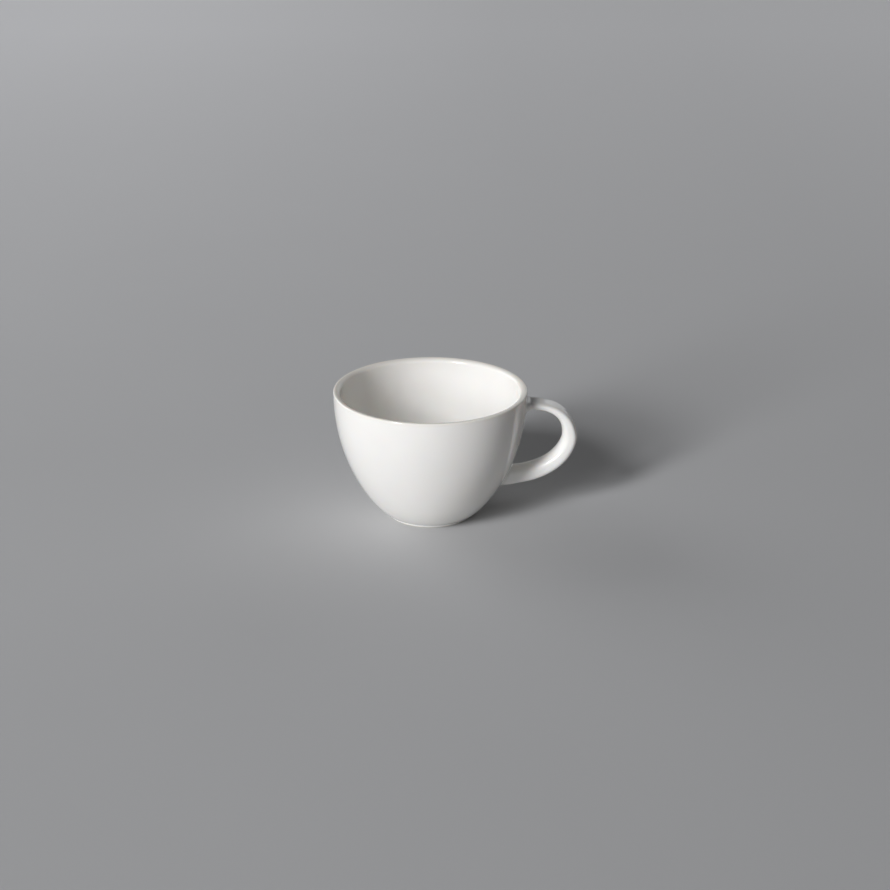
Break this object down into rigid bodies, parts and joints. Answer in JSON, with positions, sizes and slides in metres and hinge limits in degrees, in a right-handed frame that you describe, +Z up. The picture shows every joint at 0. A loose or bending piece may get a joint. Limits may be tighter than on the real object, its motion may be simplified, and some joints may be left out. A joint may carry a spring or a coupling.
{
  "type": "coffee cup",
  "caption": "Small white porcelain coffee cup: bowl-shaped body on a low foot ring, rounded lip and a curved strap handle luted to the wall; holds coffee and is lifted by the handle.",
  "frame": {"origin": "on the bowl's axis, in the plane that the foot ring stands on", "axes": "+Z up along the bowl's axis, +X from the axis towards the handle"},
  "size_m": [0.0858, 0.068, 0.0465],
  "materials": {
    "glazed_porcelain": "clear gloss glaze on warm white porcelain, bare and matt where the foot ring stands",
    "luting_slip": "porcelain slip under the same clear gloss glaze"
  },
  "bodies": {
    "root": {"cup_body": "glazed_porcelain", "handle": "glazed_porcelain", "upper_joint_slip": "luting_slip", "lower_joint_slip": "luting_slip"}
  },
  "joints": []
}
